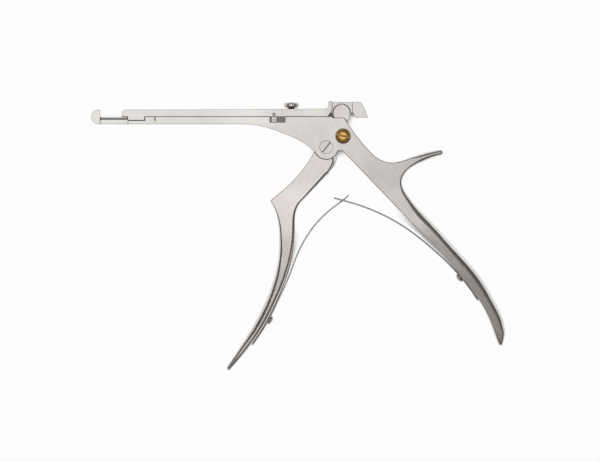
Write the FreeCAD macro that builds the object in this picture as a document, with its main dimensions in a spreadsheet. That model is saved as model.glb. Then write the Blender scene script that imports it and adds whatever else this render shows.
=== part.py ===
import FreeCAD, Part

import math
import os

import Sketcher
from FreeCAD import Placement, Rotation, Vector

# Take-apart bone rongeur with a sliding upper shaft, lying on its side.
# Sizes are millimetres. Outlines are drawn round the lever pivot: +X runs from the footplate
# towards the hook of the rear handle, +Y from the handle tips towards the shafts, and Z is the
# thickness, with the middle plane of the instrument at Z = 0 while a piece is drawn.

SIZES = {
    # Where the pivot stands, seen from the middle of the resting box
    "pivot_x": 17.3,
    "pivot_y": 54.8,
    # Lower shaft and its footplate
    "shaft_reach": 145.5,
    "shaft_width": 6.4,
    "shaft_height": 4.5,
    "parting_height": 18.9,
    "plate_thick": 5.4,
    "plate_height": 4.4,
    # T rail that the nose of the slide hooks round
    "rail_length": 27.9,
    "blade_length": 17.4,
    "blade_width": 4.4,
    "rail_head_width": 3.8,
    "rail_head_thick": 0.9,
    "rail_neck_width": 2.2,
    "rail_neck_tall": 0.8,
    "rail_gap": 0.1,
    "foot_ledge_depth": 2.4,
    "slit_from_plate": 34.1,
    "slit_width": 0.8,
    "slit_depth": 2.8,
    # Frame plate, its fork for the lever and the boss round the pivot
    "frame_thick": 8.6,
    "fork_gap": 3.8,
    "frame_step": 0.75,
    "frame_corner_x": 11.1,
    "lobe_radius": 7.4,
    "flare_start_x": -50.0,
    "flare_end_x": -31.0,
    "fork_front_x": -8.4,
    "fork_rear_x": 13.4,
    "fork_rear_top": 11.5,
    # Grips
    "grip_width": 13.0,
    "grip_start_y": -20.0,
    "grip_full_y": -58.0,
    "grip_tip_width": 7.4,
    "grip_tip_taper": 10.0,
    "grip_span": 240.0,
    "rear_tip_y": -123.3,
    "front_tip_y": -138.1,
    # Window and guide slot in the lower shaft for the key of the slide
    "window_front_x": -35.0,
    "window_rear_x": -25.4,
    "window_depth": 3.5,
    "key_slot_spare": 1.5,
    "key_neck_clear": 0.15,
    "key_foot_clear": 0.2,
    # Slide
    "slide_gap": 0.12,
    "jaw_opening": 13.4,
    "nose_cup": 3.4,
    "nose_cup_depth": 7.0,
    "slide_width": 6.4,
    "slide_front_height": 4.4,
    "slide_rear_height": 4.9,
    "slide_travel": 13.2,
    "slide_flare_x": -14.0,
    "yoke_width": 8.6,
    "lip_front_x": 1.24,
    "lip_rear_x": 3.53,
    "lip_height": 9.7,
    "bridge_height": 9.1,
    "bridge_thick": 1.6,
    "bridge_gap": 0.05,
    "arch_gap": 0.35,
    "cap_front_x": 16.3,
    "cap_rear_x": 25.8,
    "cap_height": 9.2,
    "cap_gap": 0.3,
    "foot_from_plate": 17.2,
    "foot_length": 10.3,
    "foot_drop": 2.1,
    # Lever: tang and round head of the front handle
    "tang_thick": 3.4,
    "head_radius": 5.27,
    "head_x": 9.49,
    "head_rise": 2.37,
    "hub_radius": 7.0,
    "hub_gap": 0.3,
    "tang_front": 3.4,
    "tang_gap": 0.2,
    "shoulder_gap": 0.2,
    # Pivot screw
    "pivot_shank": 5.5,
    "pivot_head": 8.0,
    "pivot_head_thick": 1.4,
    "running_gap": 0.06,
    # Brass stop screw and its nut
    "stop_x": 10.35,
    "stop_y": 6.94,
    "stop_shank": 4.4,
    "stop_head": 9.2,
    "stop_head_tall": 2.1,
    "stop_end": 1.6,
    "nut_round": 8.4,
    "slot_width": 0.8,
    "slot_depth": 0.7,
    # Guide key with its cross pin
    "key_front_x": -34.0,
    "key_length": 3.25,
    "key_neck": 2.0,
    "key_foot": 3.5,
    "key_foot_tall": 1.35,
    "key_socket": 2.6,
    "key_pin": 1.6,
    "key_pin_gap": 0.01,
    "key_gap": 0.05,
    # Lift knob
    "knob_x": -21.6,
    "knob_head": 9.0,
    "knob_head_tall": 3.0,
    "knob_neck": 4.2,
    "knob_neck_tall": 0.9,
    "knob_shank": 3.0,
    "knob_floor": 0.6,
    "knob_end_gap": 0.1,
    "knob_flutes": 14,
    "flute_round": 0.9,
    # Leaf springs and their screws
    "leaf_thick": 0.9,
    "leaf_width": 8.0,
    "leaf_slot": 3.2,
    "leaf_tongue": 2.4,
    "leaf_seat": 0.02,
    "leaf_screw_head": 5.4,
    "leaf_screw_tall": 1.9,
    "leaf_screw_shank": 2.5,
    "leaf_screw_length": 4.5,
    "leaf_screw_seat": 0.08,
    "leaf_hole_gap": 0.1,
    "grip_hole_gap": 0.03,
    "front_screw_y": -106.4,
    "rear_screw_y": -80.0,
    "tongue_start_x": 8.2,
    "leaf_slot_start_x": 7.6,
    "leaf_slot_end_x": 13.4,
    "crossing_low_y": -38.0,
}

# Places that follow from those sizes
WORKED_OUT = {
    "shaft_bottom": "parting_height - shaft_height",
    "frame_top": "parting_height - frame_step",
    "window_floor": "parting_height - window_depth",
    "foot_ledge": "parting_height - foot_ledge_depth",
    "foot_bottom": "parting_height - foot_drop",
    "plate_inner_x": "plate_thick - shaft_reach",
    "plate_top": "parting_height + plate_height",
    "rail_end_x": "plate_inner_x + rail_length",
    "blade_end_x": "plate_inner_x + blade_length",
    "slit_x": "plate_inner_x + slit_from_plate",
    "slide_nose_x": "plate_inner_x + jaw_opening",
    "foot_front_x": "plate_inner_x + foot_from_plate",
    "foot_rear_x": "foot_front_x + foot_length",
    "slide_front_top": "parting_height + slide_front_height",
    "slide_rear_top": "parting_height + slide_rear_height",
    "lip_top": "parting_height + lip_height",
    "bridge_top": "parting_height + bridge_height",
    "cap_top": "parting_height + cap_height",
    "head_y": "parting_height + head_rise",
}

doc = FreeCAD.newDocument("bone_rongeur")
sheet = doc.addObject("Spreadsheet::Sheet", "Sizes")
cells = {alias: str(value) for alias, value in SIZES.items()}
cells.update({alias: "=" + formula for alias, formula in WORKED_OUT.items()})
for row, (alias, content) in enumerate(cells.items(), start=1):
    sheet.set("A%d" % row, alias)
    sheet.setAlias("B%d" % row, alias)
    sheet.set("B%d" % row, content)
doc.recompute()


def size(alias):
    """The value that a cell of the sheet holds."""
    return float(sheet.get(alias))


def bind(item, formulas):
    """Tie properties of an object to formulas of the sheet's aliases, such as 'Sizes.leaf_width'."""
    for name, formula in formulas.items():
        item.setExpression(name, formula)


def arc_middle(start, end, heading):
    """The middle of the arc from start to end that leaves the start along the heading."""
    chord = end - start
    turn = math.atan2(heading.x * chord.y - heading.y * chord.x, heading.dot(chord))
    bulge = Vector(chord.y, -chord.x, 0) * math.tan(turn / 2) / 2
    spot = (start + end) / 2 + bulge
    return (spot.x, spot.y)


def lead_in(start, end, heading):
    """The heading in which an arc leaves its start, to arrive at its end along the other heading."""
    chord = Vector(end[0] - start[0], end[1] - start[1], 0).normalize()
    arriving = Vector(*heading, 0)
    leaving = chord * (2 * arriving.dot(chord)) - arriving
    return (leaving.x, leaving.y)


class Outline:
    """A closed side view, drawn curve by curve from its first point."""

    def __init__(self, x, y):
        self.start = Vector(x, y, 0)
        self.here = self.start
        self.curves = []

    def line(self, *points):
        for x, y in points:
            there = Vector(x, y, 0)
            self.curves.append(Part.LineSegment(self.here, there))
            self.here = there
        return self

    def arc(self, middle, end):
        there = Vector(end[0], end[1], 0)
        self.curves.append(Part.Arc(self.here, Vector(middle[0], middle[1], 0), there))
        self.here = there
        return self

    def heading(self):
        """The direction in which the last curve arrives."""
        last = self.curves[-1]
        way = last.tangent(last.LastParameter)[0]
        return (way.x, way.y)

    def bend(self, end, heading=None):
        """An arc that leaves along the heading, or straight on from the last curve, and ends at the point."""
        start, there = self.here, Vector(end[0], end[1], 0)
        return self.arc(arc_middle(start, there, Vector(*(heading or self.heading()), 0)), end)

    def ease(self, end, heading):
        """Two arcs that leave along the heading and are parallel to it again at their end."""
        start, there = self.here, Vector(end[0], end[1], 0)
        half = (start + there) / 2
        self.bend((half.x, half.y), heading)
        back = arc_middle(there, half, -Vector(*heading, 0))
        return self.arc(back, end)

    def follow(self, curve):
        """A ready curve that starts where the outline stands."""
        self.curves.append(curve)
        self.here = curve.EndPoint
        return self

    def spline(self, *points, leave=None, arrive=None):
        here = (self.here.x, self.here.y)
        return self.follow(through(here, *points, leave=leave, arrive=arrive))

    def close(self):
        if (self.here - self.start).Length > 1e-6:
            self.line((self.start.x, self.start.y))
        return self.curves


def plane_of(body, role):
    return next(item for item in body.Origin.OriginFeatures if item.Role == role)


def plate(name, curves, thickness, plane="XY_Plane"):
    """A body whose sketch is padded by a formula's length, half to each side of the plane."""
    body = doc.addObject("PartDesign::Body", name)
    sketch = body.newObject("Sketcher::SketchObject", name + "_outline")
    sketch.AttachmentSupport = [(plane_of(body, plane), "")]
    sketch.MapMode = "FlatFace"
    for curve in curves:
        sketch.addConstraint(Sketcher.Constraint("Block", sketch.addGeometry(curve, False)))
    pad = body.newObject("PartDesign::Pad", name + "_pad")
    pad.Profile = sketch
    pad.SideType = "Symmetric"
    bind(pad, {"Length": thickness})
    return body


def box(name, low, sides):
    """A box from the formulas of its lowest corner and of its three sides."""
    block = doc.addObject("Part::Box", name)
    bind(block, dict(zip(("Length", "Width", "Height"), sides)))
    bind(block, {"Placement.Base." + axis: text for axis, text in zip("xyz", low)})
    return block


def rod(name, base, diameter, height, turn=None):
    """A cylinder from the formulas of its base, diameter and height, along Z unless it is turned."""
    cylinder = doc.addObject("Part::Cylinder", name)
    if turn:
        cylinder.Placement = Placement(Vector(), turn)
    bind(cylinder, {"Radius": "(%s) / 2" % diameter, "Height": height})
    bind(cylinder, {"Placement.Base." + axis: text for axis, text in zip("xyz", base)})
    return cylinder


def fuse(name, *pieces):
    joined = doc.addObject("Part::MultiFuse", name)
    joined.Shapes = list(pieces)
    joined.Refine = True
    return joined


def common(name, *pieces):
    shared = doc.addObject("Part::MultiCommon", name)
    shared.Shapes = list(pieces)
    shared.Refine = True
    return shared


def cut(name, base, *tools):
    """The base less every tool."""
    result = doc.addObject("Part::Cut", name)
    result.Base = base
    result.Tool = tools[0] if len(tools) == 1 else fuse(name + "_tools", *tools)
    result.Refine = True
    return result


# Shared heights and half widths
PARTING = size("parting_height")
BOTTOM = size("shaft_bottom")
LOBE = size("lobe_radius")
HALF_FRAME = size("frame_thick") / 2
HALF_GRIP = size("grip_width") / 2


def on_circle(radius, degrees):
    angle = math.radians(degrees)
    return (radius * math.cos(angle), radius * math.sin(angle))


def through(*points, leave=None, arrive=None):
    """A smooth curve through the points, with its end directions where both are given."""
    curve = Part.BSplineCurve()
    spots = [Vector(x, y, 0) for x, y in points]
    if leave and arrive:
        curve.interpolate(Points=spots, InitialTangent=Vector(*leave, 0), FinalTangent=Vector(*arrive, 0))
    else:
        curve.interpolate(Points=spots)
    return curve


# Inner sides of the two grips, from the tip up: the leaf springs lie along them
REAR_TIP_TURN = (-0.42, 0.907)
REAR_INNER = through(
    (106.7, -122.0), (101.4, -107.8), (94.2, -94.2), (81.6, -77.4), (64.4, -58.6), (60.4, -54.6),
    leave=REAR_TIP_TURN, arrive=(-0.69, 0.72)
)
FRONT_INNER = through(
    (-58.9, -136.9), (-49.1, -125.6), (-38.6, -110.7), (-30.9, -95.9), (-24.8, -81.0),
    (-21.0, -66.1), (-19.4, -51.2), (-18.9, -41.0), (-16.6, -35.0)
)

# Frame: lower shaft, footplate, fork, hook and rear grip are one forging
FRAME_BACK = [
    (19.9, 5.83), (26.2, -1.6), (32.8, -7.2), (40.9, -9.3), (50.65, -6.94), (60.6, -3.5), (70.3, -1.5)
]
HOOK_TIP = (70.9, -5.0)
REAR_BACK = [
    (60.6, -8.7), (51.2, -13.7), (47.0, -20.8), (49.9, -28.9), (62.8, -43.8), (83.5, -66.1),
    (95.9, -81.0), (104.7, -95.9), (109.9, -108.3), (110.7, -116.0), (109.2, -121.8)
]
THROAT = [(-13.8, 2.6), (-28.7, 9.5), (-38.6, 12.8), (-53.5, BOTTOM)]


def frame_outline():
    reach, inner, top = size("shaft_reach"), size("plate_inner_x"), size("plate_top")
    corner = (size("frame_corner_x"), size("frame_top"))
    step_x = size("lip_rear_x")
    lobe_front, lobe_rear = on_circle(LOBE, 201), on_circle(LOBE, -15)
    outline = Outline(inner, top)
    outline.line((inner, PARTING), (step_x, PARTING), (step_x + PARTING - corner[1], corner[1]), corner)
    outline.spline(*FRAME_BACK, leave=(0.55, -0.83), arrive=(0.98, 0.17))
    outline.bend(HOOK_TIP)
    tip_end = (REAR_INNER.StartPoint.x, REAR_INNER.StartPoint.y)
    outline.spline(*REAR_BACK, leave=outline.heading(), arrive=lead_in(REAR_BACK[-1], tip_end, REAR_TIP_TURN))
    outline.bend(tip_end)
    # The inner side of the grip runs straight up to the fork
    outline.follow(REAR_INNER)
    outline.line((9.7, lobe_rear[1]), lobe_rear)
    outline.arc(on_circle(LOBE, -90), lobe_front)
    outline.spline(*THROAT, leave=(-0.7, 0.6), arrive=(-1, 0))
    # Round back of the footplate
    back = (top - BOTTOM) / 2
    outline.line((back - reach, BOTTOM))
    outline.arc((-reach, BOTTOM + back), (back - reach, top))
    return outline.close()


def side_limits():
    """Top view of the shaft, fork and hook: the shaft is narrower than the fork."""
    slim = size("shaft_width") / 2
    start, end = size("flare_start_x"), size("flare_end_x")
    front = -size("shaft_reach") - 1
    rear = 74
    outline = Outline(front, -slim)
    outline.line((start, -slim))
    outline.ease((end, -HALF_FRAME), (1, 0))
    outline.line((rear, -HALF_FRAME), (rear, HALF_FRAME), (end, HALF_FRAME))
    outline.ease((start, slim), (-1, 0))
    outline.line((front, slim))
    return outline.close()


def grip_limits(tip_y):
    """Front view of a grip, from the pivot down: it widens below the fork and narrows at its tip."""
    start, full, slim = size("grip_start_y"), size("grip_full_y"), size("grip_tip_width") / 2
    taper_y, end_y = tip_y + size("grip_tip_taper"), tip_y - 1
    outline = Outline(0, -HALF_FRAME)
    outline.line((start, -HALF_FRAME))
    outline.ease((full, -HALF_GRIP), (-1, 0))
    outline.line((taper_y, -HALF_GRIP))
    outline.bend((end_y, -slim), (-1, 0))
    outline.line((end_y, slim))
    corner = arc_middle(Vector(taper_y, HALF_GRIP, 0), Vector(end_y, slim, 0), Vector(-1, 0, 0))
    outline.arc(corner, (taper_y, HALF_GRIP))
    outline.line((full, HALF_GRIP))
    outline.ease((start, HALF_FRAME), (1, 0))
    outline.line((0, HALF_FRAME))
    return outline.close()


def fork_outline():
    """Side view of the slot between the cheeks, which the tang swings in."""
    front, rear, rear_top = size("fork_front_x"), size("fork_rear_x"), size("fork_rear_top")
    clear = size("hub_radius") + size("hub_gap")
    outline = Outline(front, 30)
    outline.line((front, 6), on_circle(clear, 172))
    outline.arc(on_circle(clear, 190), on_circle(clear, 205))
    outline.line((on_circle(clear, 205)[0], -10), (9.2, -10), (9.2, 1.2), (rear, 4.8))
    outline.line((rear, rear_top), (rear + 12, rear_top), (rear + 12, 30))
    return outline.close()


def rail_relief(name, side, ledge, start_x, end_x):
    """Cutter beside the T rail, seen along the shaft: under the head, beside the neck and the blade."""
    head = size("rail_head_width") / 2
    neck = size("rail_neck_width") / 2
    blade = size("blade_width") / 2
    under_head = PARTING - size("rail_head_thick")
    blade_top = under_head - size("rail_neck_tall")
    outline = Outline(PARTING + 1, side * head)
    outline.line((under_head, side * head), (under_head, side * neck), (blade_top, side * neck))
    outline.line((blade_top, side * blade), (ledge, side * blade), (ledge, side * 6), (PARTING + 1, side * 6))
    cutter = plate(name, outline.close(), "%f" % (end_x - start_x), "YZ_Plane")
    cutter.Placement = Placement(Vector((start_x + end_x) / 2, 0, 0), Rotation())
    return cutter


def build_frame():
    side = plate("frame_side", frame_outline(), "Sizes.grip_width + 4")
    top_view = plate("frame_top_view", side_limits(), "2 * (Sizes.plate_top + 2)", "XZ_Plane")
    front_view = plate("grip_front_view", grip_limits(size("rear_tip_y")), "Sizes.grip_span", "YZ_Plane")
    solid = common("frame_solid", side, fuse("frame_views", top_view, front_view))
    inner, rail_end, blade_end = size("plate_inner_x"), size("rail_end_x"), size("blade_end_x")
    ledge = size("foot_ledge")
    cutters = []
    for hand, side_sign in (("near", 1), ("far", -1)):
        cutters.append(rail_relief("rail_relief_" + hand, side_sign, ledge, inner, rail_end))
        cutters.append(rail_relief("blade_relief_" + hand, side_sign, BOTTOM - 1, inner, blade_end))
    fork = plate("fork_slot", fork_outline(), "Sizes.fork_gap")
    window = box(
        "window", ("Sizes.window_front_x", "Sizes.window_floor", "-10"),
        ("Sizes.window_rear_x - Sizes.window_front_x", "Sizes.parting_height - Sizes.window_floor + 1", "20")
    )
    slot_length = "Sizes.slide_travel + Sizes.key_slot_spare"
    slot_start = "Sizes.window_front_x - (%s)" % slot_length
    neck_wide = "Sizes.key_neck + 2 * Sizes.key_neck_clear"
    foot_wide = "Sizes.key_foot + 2 * Sizes.key_foot_clear"
    neck_slot = box(
        "key_neck_slot", (slot_start, "Sizes.window_floor", "-(%s) / 2" % neck_wide),
        (slot_length + " + 1", "Sizes.parting_height - Sizes.window_floor + 1", neck_wide)
    )
    foot_slot = box(
        "key_foot_slot", (slot_start, "Sizes.window_floor", "-(%s) / 2" % foot_wide),
        (slot_length + " + 1", "Sizes.key_foot_tall + 2 * Sizes.key_foot_clear", foot_wide)
    )
    slit = box(
        "slit", ("Sizes.slit_x - Sizes.slit_width / 2", "Sizes.parting_height - Sizes.slit_depth", "-10"),
        ("Sizes.slit_width", "Sizes.slit_depth + 1", "20")
    )
    pivot_bore = rod("pivot_bore", ("0", "0", "-10"), "Sizes.pivot_shank + 2 * Sizes.key_gap", "20")
    pivot_sink = rod(
        "pivot_sink", ("0", "0", "Sizes.frame_thick / 2 - Sizes.pivot_head_thick - Sizes.key_gap"),
        "Sizes.pivot_head + 2 * Sizes.key_gap", "10"
    )
    stop_bore = rod(
        "stop_bore", ("Sizes.stop_x", "Sizes.stop_y", "-10"),
        "Sizes.stop_shank + 2 * Sizes.running_gap", "20"
    )
    cutters += [fork, window, neck_slot, foot_slot, slit, pivot_bore, pivot_sink, stop_bore]
    return cut("frame_cut", solid, *cutters)


# Front handle: grip and finger step, thinned to a tang that ends in the round head of the lever
SHOULDER = [(4.6, -9.0), (2.9, -13.9), (0.1, -17.6)]
FRONT_BACK = [
    (-54.9, -125.7), (-45.5, -110.7), (-37.9, -95.9), (-32.5, -81.0), (-29.6, -66.1),
    (-29.3, -52.0), (-31.3, -40.1), (-34.9, -33.1)
]
FINGER_STEP = [(-29.8, -28.9), (-21.5, -21.5), (-11.4, -9.1), (-7.7, -3.0)]


def handle_outline():
    clear = LOBE + size("shoulder_gap")
    outline = Outline(*on_circle(clear, 205))
    outline.arc(on_circle(clear, 250), on_circle(clear, -60.5))
    outline.spline(*SHOULDER, leave=(0.5, -0.85), arrive=(-0.7, -0.72))
    outline.line((-14.3, -32.5), (FRONT_INNER.EndPoint.x, FRONT_INNER.EndPoint.y))
    inner = FRONT_INNER.copy()
    inner.reverse()
    outline.follow(inner)
    outline.arc((-60.6, size("front_tip_y")), (-61.7, -136.4))
    outline.spline(*FRONT_BACK)
    outline.spline(*FINGER_STEP)
    return outline.close()


def tang_outline():
    """Side view of the tang: its back runs beside the stop screw, its hub turns inside the boss."""
    head_x, head_y, radius = size("head_x"), size("head_y"), size("head_radius")
    hub, front = size("hub_radius"), size("tang_front")
    lean, reach = math.atan2(head_y, head_x), math.hypot(head_x, head_y)
    along = Vector(math.cos(lean), math.sin(lean), 0)
    across = Vector(along.y, -along.x, 0)
    stop_side = size("stop_x") * across.x + size("stop_y") * across.y - size("stop_shank") / 2
    back = stop_side - size("tang_gap")

    def beside(distance, offset):
        spot = along * distance + across * offset
        return (spot.x, spot.y)

    outline = Outline(1.0, -17.0)
    outline.line((5.5, -10.3), (6.6, -7.2), (6.9, -3.3), beside(5.8, back))
    outline.line(beside(reach - 4.7, back), (head_x + 3.1, head_y - 4.8))
    outline.line((head_x + radius - 0.25, head_y - 3.7), (head_x + radius, head_y))
    foot_x = 0.85 * radius
    outline.arc((head_x, head_y + radius), (head_x - foot_x, head_y - math.sqrt(radius ** 2 - foot_x ** 2)))
    outline.line(beside(reach - 5.8, -front), beside(front, -front), on_circle(hub, 153))
    outline.arc(on_circle(hub, 180), on_circle(hub, 204))
    outline.line((-7.5, -6.0), (-8.0, -14.0))
    return outline.close()


def build_front_handle():
    side = plate("handle_side", handle_outline(), "Sizes.grip_width + 4")
    front_view = plate("handle_front_view", grip_limits(size("front_tip_y")), "Sizes.grip_span", "YZ_Plane")
    grip = common("handle_grip", side, front_view)
    tang = plate("tang", tang_outline(), "Sizes.tang_thick")
    bore = rod("handle_bore", ("0", "0", "-10"), "Sizes.pivot_shank + 2 * Sizes.running_gap", "20")
    return cut("handle_cut", fuse("handle_solid", grip, tang), bore)


# Slide: upper shaft with the cutting nose in front and the yoke for the lever head behind


def slide_outline():
    low = PARTING + size("slide_gap")
    nose, lip_front, lip_rear = size("slide_nose_x"), size("lip_front_x"), size("lip_rear_x")
    front_top, rear_top, lip_top = size("slide_front_top"), size("slide_rear_top"), size("lip_top")
    outline = Outline(nose, low)
    outline.line((lip_front - 0.4, low))
    # Hollow rear face of the lip
    outline.spline((lip_rear - 0.9, low + 2.6), (lip_rear, low + 5.2), leave=(0.5, 0.8), arrive=(0, 1))
    lip_round, root_round, nose_round = 0.8, 2.0, 2.4
    outline.line((lip_rear, lip_top - lip_round))
    outline.bend((lip_rear - lip_round, lip_top))
    outline.line((lip_front + lip_round, lip_top))
    outline.bend((lip_front, lip_top - lip_round))
    outline.line((lip_front, rear_top + root_round))
    outline.bend((lip_front - root_round, rear_top))
    outline.ease((nose + nose_round, front_top), (-1, 0))
    outline.bend((nose, front_top - nose_round), (-1, 0))
    return outline.close()


def slide_limits():
    """Top view of the slide: a slim bar that widens to the yoke."""
    slim, wide = size("slide_width") / 2, size("yoke_width") / 2
    nose, flare, lip = size("slide_nose_x"), size("slide_flare_x"), size("lip_front_x") - 2
    outline = Outline(nose - 1, -slim)
    outline.line((flare, -slim))
    outline.ease((lip, -wide), (1, 0))
    outline.line((30, -wide), (30, wide), (lip, wide))
    outline.ease((flare, slim), (-1, 0))
    outline.line((nose - 1, slim))
    return outline.close()


def cap_outline():
    front, rear, top = size("cap_front_x"), size("cap_rear_x"), size("cap_top")
    low = size("frame_top") + size("cap_gap")
    outline = Outline(front + 2.1, low)
    outline.line((rear, low), (rear - 1.7, low + 4.6), (rear - 3.6, top - 1.7))
    outline.arc((rear - 4.3, top - 0.5), (rear - 5.6, top))
    outline.line((front + 0.5, top))
    outline.arc((front + 0.15, top - 0.15), (front, top - 0.5))
    outline.line((front, low + 3.4))
    return outline.close()


def bridge_outline():
    """Side bridge of the yoke, arched over the lever head."""
    lip, cap, top = size("lip_rear_x"), size("cap_front_x"), size("bridge_top")
    head_x, head_y = size("head_x"), size("head_y")
    arch = size("head_radius") + size("arch_gap")
    outline = Outline(lip - 0.6, top)
    outline.line((lip - 0.6, head_y), (head_x - arch, head_y))
    outline.arc((head_x, head_y + arch), (head_x + arch, head_y))
    outline.line((cap + 0.6, head_y), (cap + 0.6, top))
    return outline.close()


def foot_section(side):
    """Cheek of the slide's front foot, hooked under the head of the T rail."""
    gap = size("rail_gap")
    head = side * (size("rail_head_width") / 2 + gap)
    neck = side * (size("rail_neck_width") / 2 + gap)
    blade = side * (size("blade_width") / 2 + gap)
    outer = side * size("slide_width") / 2
    under_head = PARTING - size("rail_head_thick") - gap
    hook_low = under_head - size("rail_neck_tall") + 2 * gap
    top, low = PARTING + size("slide_gap") + 0.5, size("foot_bottom")
    outline = Outline(top, outer)
    outline.line((low, outer), (low, blade), (hook_low, blade), (hook_low, neck))
    outline.line((under_head, neck), (under_head, head), (top, head))
    return outline.close()


def build_slide():
    side = plate("slide_side", slide_outline(), "Sizes.yoke_width + 4")
    top_view = plate("slide_top_view", slide_limits(), "2 * (Sizes.lip_top + 2)", "XZ_Plane")
    bar = common("slide_bar", side, top_view)
    cap = plate("slide_cap", cap_outline(), "Sizes.yoke_width")
    parts = [bar, cap]
    foot_middle = (size("foot_front_x") + size("foot_rear_x")) / 2
    for hand, sign in (("near", 1), ("far", -1)):
        bridge = plate("bridge_" + hand, bridge_outline(), "Sizes.bridge_thick")
        offset = sign * (size("fork_gap") / 2 + size("bridge_gap") + size("bridge_thick") / 2)
        bridge.Placement = Placement(Vector(0, 0, offset), Rotation())
        cheek = plate("foot_" + hand, foot_section(sign), "Sizes.foot_length", "YZ_Plane")
        cheek.Placement = Placement(Vector(foot_middle, 0, 0), Rotation())
        parts += [bridge, cheek]
    low = "Sizes.parting_height + Sizes.slide_gap"
    slack = " + 2 * Sizes.key_gap"
    socket_low = ("Sizes.key_front_x - Sizes.key_gap", low + " - 1", "-(Sizes.key_neck%s) / 2" % slack)
    socket = box(
        "key_socket", socket_low,
        ("Sizes.key_length" + slack, "Sizes.key_socket + 1 + Sizes.key_gap", "Sizes.key_neck" + slack)
    )
    pin_y = low + " + Sizes.key_socket / 2"
    pin_bore = rod(
        "pin_bore", ("Sizes.key_front_x + Sizes.key_length / 2", pin_y, "-10"),
        "Sizes.key_pin + 2 * Sizes.key_gap", "20"
    )
    knob_bore = rod(
        "knob_bore", ("Sizes.knob_x", low + " + Sizes.knob_floor", "0"),
        "Sizes.knob_shank + 2 * Sizes.running_gap", "10", Rotation(Vector(1, 0, 0), -90)
    )
    cup_base = ("Sizes.slide_nose_x - 1", low + " + Sizes.slide_front_height / 2", "0")
    along = Rotation(Vector(0, 1, 0), 90)
    cup = rod("nose_cup", cup_base, "Sizes.nose_cup", "Sizes.nose_cup_depth + 1", along)
    return cut("slide_cut", fuse("slide_solid", *parts), socket, pin_bore, knob_bore, cup)


# Screws, key, knob and springs


def turned(name, curves, plane, axis):
    """A body turned from a half section about an axis of its own."""
    body = doc.addObject("PartDesign::Body", name)
    sketch = body.newObject("Sketcher::SketchObject", name + "_section")
    sketch.AttachmentSupport = [(plane_of(body, plane), "")]
    sketch.MapMode = "FlatFace"
    for curve in curves:
        sketch.addConstraint(Sketcher.Constraint("Block", sketch.addGeometry(curve, False)))
    turn = body.newObject("PartDesign::Revolution", name + "_turn")
    turn.Profile = sketch
    turn.ReferenceAxis = (plane_of(body, axis), [""])
    turn.Angle = 360
    return body


def screw_slot(name, x, y, top, length, angle):
    """Driver slot across a screw's head."""
    blade = doc.addObject("Part::Box", name)
    bind(blade, {"Length": length, "Width": "Sizes.slot_width", "Height": "Sizes.slot_depth + 5"})
    doc.recompute()
    place = Placement(Vector(x, y, top - size("slot_depth")), Rotation(Vector(0, 0, 1), angle))
    centred = Vector(-float(blade.Length) / 2, -size("slot_width") / 2, 0)
    blade.Placement = place * Placement(centred, Rotation())
    return blade


def build_pivot_screw():
    head_low = "Sizes.frame_thick / 2 - Sizes.pivot_head_thick"
    base = ("0", "0", "-Sizes.frame_thick / 2")
    shank = rod("pivot_shank", base, "Sizes.pivot_shank", "Sizes.frame_thick - 0.5")
    head = rod("pivot_head", ("0", "0", head_low), "Sizes.pivot_head", "Sizes.pivot_head_thick")
    slot = screw_slot("pivot_slot", 0, 0, HALF_FRAME, "Sizes.pivot_head - 0.6", 50.7)
    return cut("pivot_cut", fuse("pivot_solid", shank, head), slot)


def build_stop_screw():
    """Head with a twice bevelled dome over a round shank with a flat where the tang passes."""
    face = HALF_FRAME + size("running_gap")
    head, shank, tall = size("stop_head") / 2, size("stop_shank") / 2, size("stop_head_tall")
    rim_tall = 0.7 * tall
    end = -HALF_FRAME - size("stop_end")
    section = Outline(0, end)
    section.line((shank, end), (shank, face), (head - 0.3, face), (head, face + 0.3), (head, face + 0.8))
    section.line((head - 0.7, face + rim_tall), (head / 2, face + tall), (0, face + tall))
    solid = turned("stop_solid", section.close(), "XZ_Plane", "Z_Axis")
    solid.Placement = Placement(Vector(size("stop_x"), size("stop_y"), 0), Rotation())
    flat = box(
        "stop_flat", ("Sizes.stop_x + Sizes.stop_shank / 4", "Sizes.stop_y - 5", "-Sizes.fork_gap / 2"),
        ("5", "10", "Sizes.fork_gap")
    )
    slot = screw_slot("stop_slot", size("stop_x"), size("stop_y"), face + tall, "Sizes.stop_head + 1", -15)
    return cut("stop_cut", solid, flat, slot)


def build_stop_nut():
    """Round nut on the far side, level with the sides of the grips, so that the instrument lies steady."""
    x, y = "Sizes.stop_x", "Sizes.stop_y"
    low = "-Sizes.grip_width / 2"
    tall = "(Sizes.grip_width - Sizes.frame_thick) / 2 - Sizes.running_gap"
    nut = rod("nut_round", (x, y, low), "Sizes.nut_round", tall)
    floor = "-Sizes.frame_thick / 2 - Sizes.stop_end - Sizes.running_gap"
    bore = rod("nut_bore", (x, y, floor), "Sizes.stop_shank + 2 * Sizes.running_gap", "5")
    return cut("nut_cut", nut, bore)


def build_key():
    low = "Sizes.parting_height + Sizes.slide_gap"
    foot_low = "Sizes.window_floor + Sizes.key_foot_clear"
    foot = box(
        "key_foot", ("Sizes.key_front_x", foot_low, "-Sizes.key_foot / 2"),
        ("Sizes.key_length", "Sizes.key_foot_tall", "Sizes.key_foot")
    )
    neck = box(
        "key_neck", ("Sizes.key_front_x", foot_low, "-Sizes.key_neck / 2"),
        ("Sizes.key_length", low + " + Sizes.key_socket - (%s)" % foot_low, "Sizes.key_neck")
    )
    bore = rod(
        "key_bore", ("Sizes.key_front_x + Sizes.key_length / 2", low + " + Sizes.key_socket / 2", "-10"),
        "Sizes.key_pin + 2 * Sizes.key_pin_gap", "20"
    )
    return cut("key_cut", fuse("key_solid", foot, neck), bore)


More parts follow.
